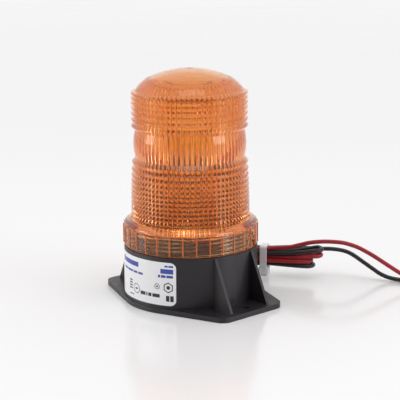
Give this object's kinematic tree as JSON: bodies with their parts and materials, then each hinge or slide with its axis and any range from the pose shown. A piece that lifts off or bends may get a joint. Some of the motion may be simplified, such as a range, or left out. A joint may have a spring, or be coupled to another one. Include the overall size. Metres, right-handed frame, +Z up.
{
  "type": "bolt-down strobe warning beacon",
  "caption": "Amber screw-lens strobe beacon with a ribbed lens, a low black housing on a gusseted two-hole foot and a tied hank of two flying leads",
  "frame": {"origin": "centre of the foot plate's underside, on the surface that the beacon is bolted to", "axes": "+Z up along the lens axis, X along the two feet, the label faces -Y, the leads leave through the +Y wall"},
  "size_m": [0.1858, 0.188, 0.154],
  "materials": {
    "base_housing": "moulded black ASA, fine matt texture",
    "bottom_cover": "moulded black ASA",
    "cover_seal": "black rubber ring",
    "cover_screws": "zinc-plated steel",
    "lens": "clear amber polycarbonate, polished",
    "lens_gasket": "black rubber",
    "label": null,
    "tube_post": "natural nylon",
    "post_screws": "zinc-plated steel",
    "tube_socket": "black phenolic",
    "socket_contacts": "tinned brass",
    "tube_plug": "dark brown phenolic",
    "tube_pins": "brass",
    "tube_glass": "clear glass",
    "tube_electrodes": "tungsten",
    "trigger_wire": "bare wire",
    "post_wires": "insulated hook-up wire",
    "circuit_board": "green glass-epoxy board",
    "board_screws": "zinc-plated steel",
    "transformer_core": "dark ferrite",
    "transformer_bobbin": "black bobbin",
    "transformer_winding": "taped copper winding",
    "storage_capacitor": "aluminium can",
    "capacitor_sleeve": "dark blue vinyl sleeve",
    "trigger_coil": "varnished winding",
    "heat_sink": "bent aluminium plate",
    "switching_transistor": "black epoxy",
    "transistor_screw": "zinc-plated steel",
    "film_capacitors": "dipped red-brown film capacitor",
    "power_resistors": "coated resistor",
    "diodes": "black epoxy",
    "solder_posts": "tinned brass",
    "wire_grommet": "black rubber",
    "inner_red_lead": "red PVC insulation",
    "inner_black_lead": "black PVC insulation",
    "red_lead_exit": "red PVC insulation",
    "black_lead_exit": "black PVC insulation",
    "lead_hank": "red and black PVC insulated wire",
    "red_lead_tail": "red PVC insulation",
    "black_lead_tail": "black PVC insulation",
    "cable_tie": "natural nylon"
  },
  "bodies": {
    "base": {"base_housing": "base_housing", "bottom_cover": "bottom_cover", "cover_seal": "cover_seal", "cover_screws": "cover_screws", "label": "label", "tube_post": "tube_post", "post_screws": "post_screws", "tube_socket": "tube_socket", "socket_contacts": "socket_contacts", "post_wires": "post_wires", "circuit_board": "circuit_board", "board_screws": "board_screws", "transformer_core": "transformer_core", "transformer_bobbin": "transformer_bobbin", "transformer_winding": "transformer_winding", "storage_capacitor": "storage_capacitor", "capacitor_sleeve": "capacitor_sleeve", "trigger_coil": "trigger_coil", "heat_sink": "heat_sink", "switching_transistor": "switching_transistor", "transistor_screw": "transistor_screw", "film_capacitors": "film_capacitors", "power_resistors": "power_resistors", "diodes": "diodes", "solder_posts": "solder_posts", "wire_grommet": "wire_grommet", "inner_red_lead": "inner_red_lead", "inner_black_lead": "inner_black_lead", "red_lead_exit": "red_lead_exit", "black_lead_exit": "black_lead_exit", "lead_hank": "lead_hank", "red_lead_tail": "red_lead_tail", "black_lead_tail": "black_lead_tail", "cable_tie": "cable_tie"},
    "lens_lifter": {"lens_gasket": "lens_gasket"},
    "lens_cap": {"lens": "lens"},
    "flash_tube": {"tube_plug": "tube_plug", "tube_pins": "tube_pins", "tube_glass": "tube_glass", "tube_electrodes": "tube_electrodes", "trigger_wire": "trigger_wire"}
  },
  "joints": [
    {"name": "lens_lift", "type": "slide", "parent": "base", "child": "lens_lifter", "axis": [0, 0, 1], "range_m": [0, 0.0108]},
    {"name": "lens_turn", "type": "hinge", "parent": "lens_lifter", "child": "lens_cap", "pos_m": [0, 0, 0.044], "axis": [0, 0, 1], "range_deg": [0, 1440]},
    {"name": "tube_pull", "type": "slide", "parent": "base", "child": "flash_tube", "axis": [0, 0, 1], "range_m": [0, 0.012]}
  ],
  "couplings": [
    {"joint": "lens_lift", "follows": "lens_turn", "m_per_rad": 0.00042972}
  ]
}
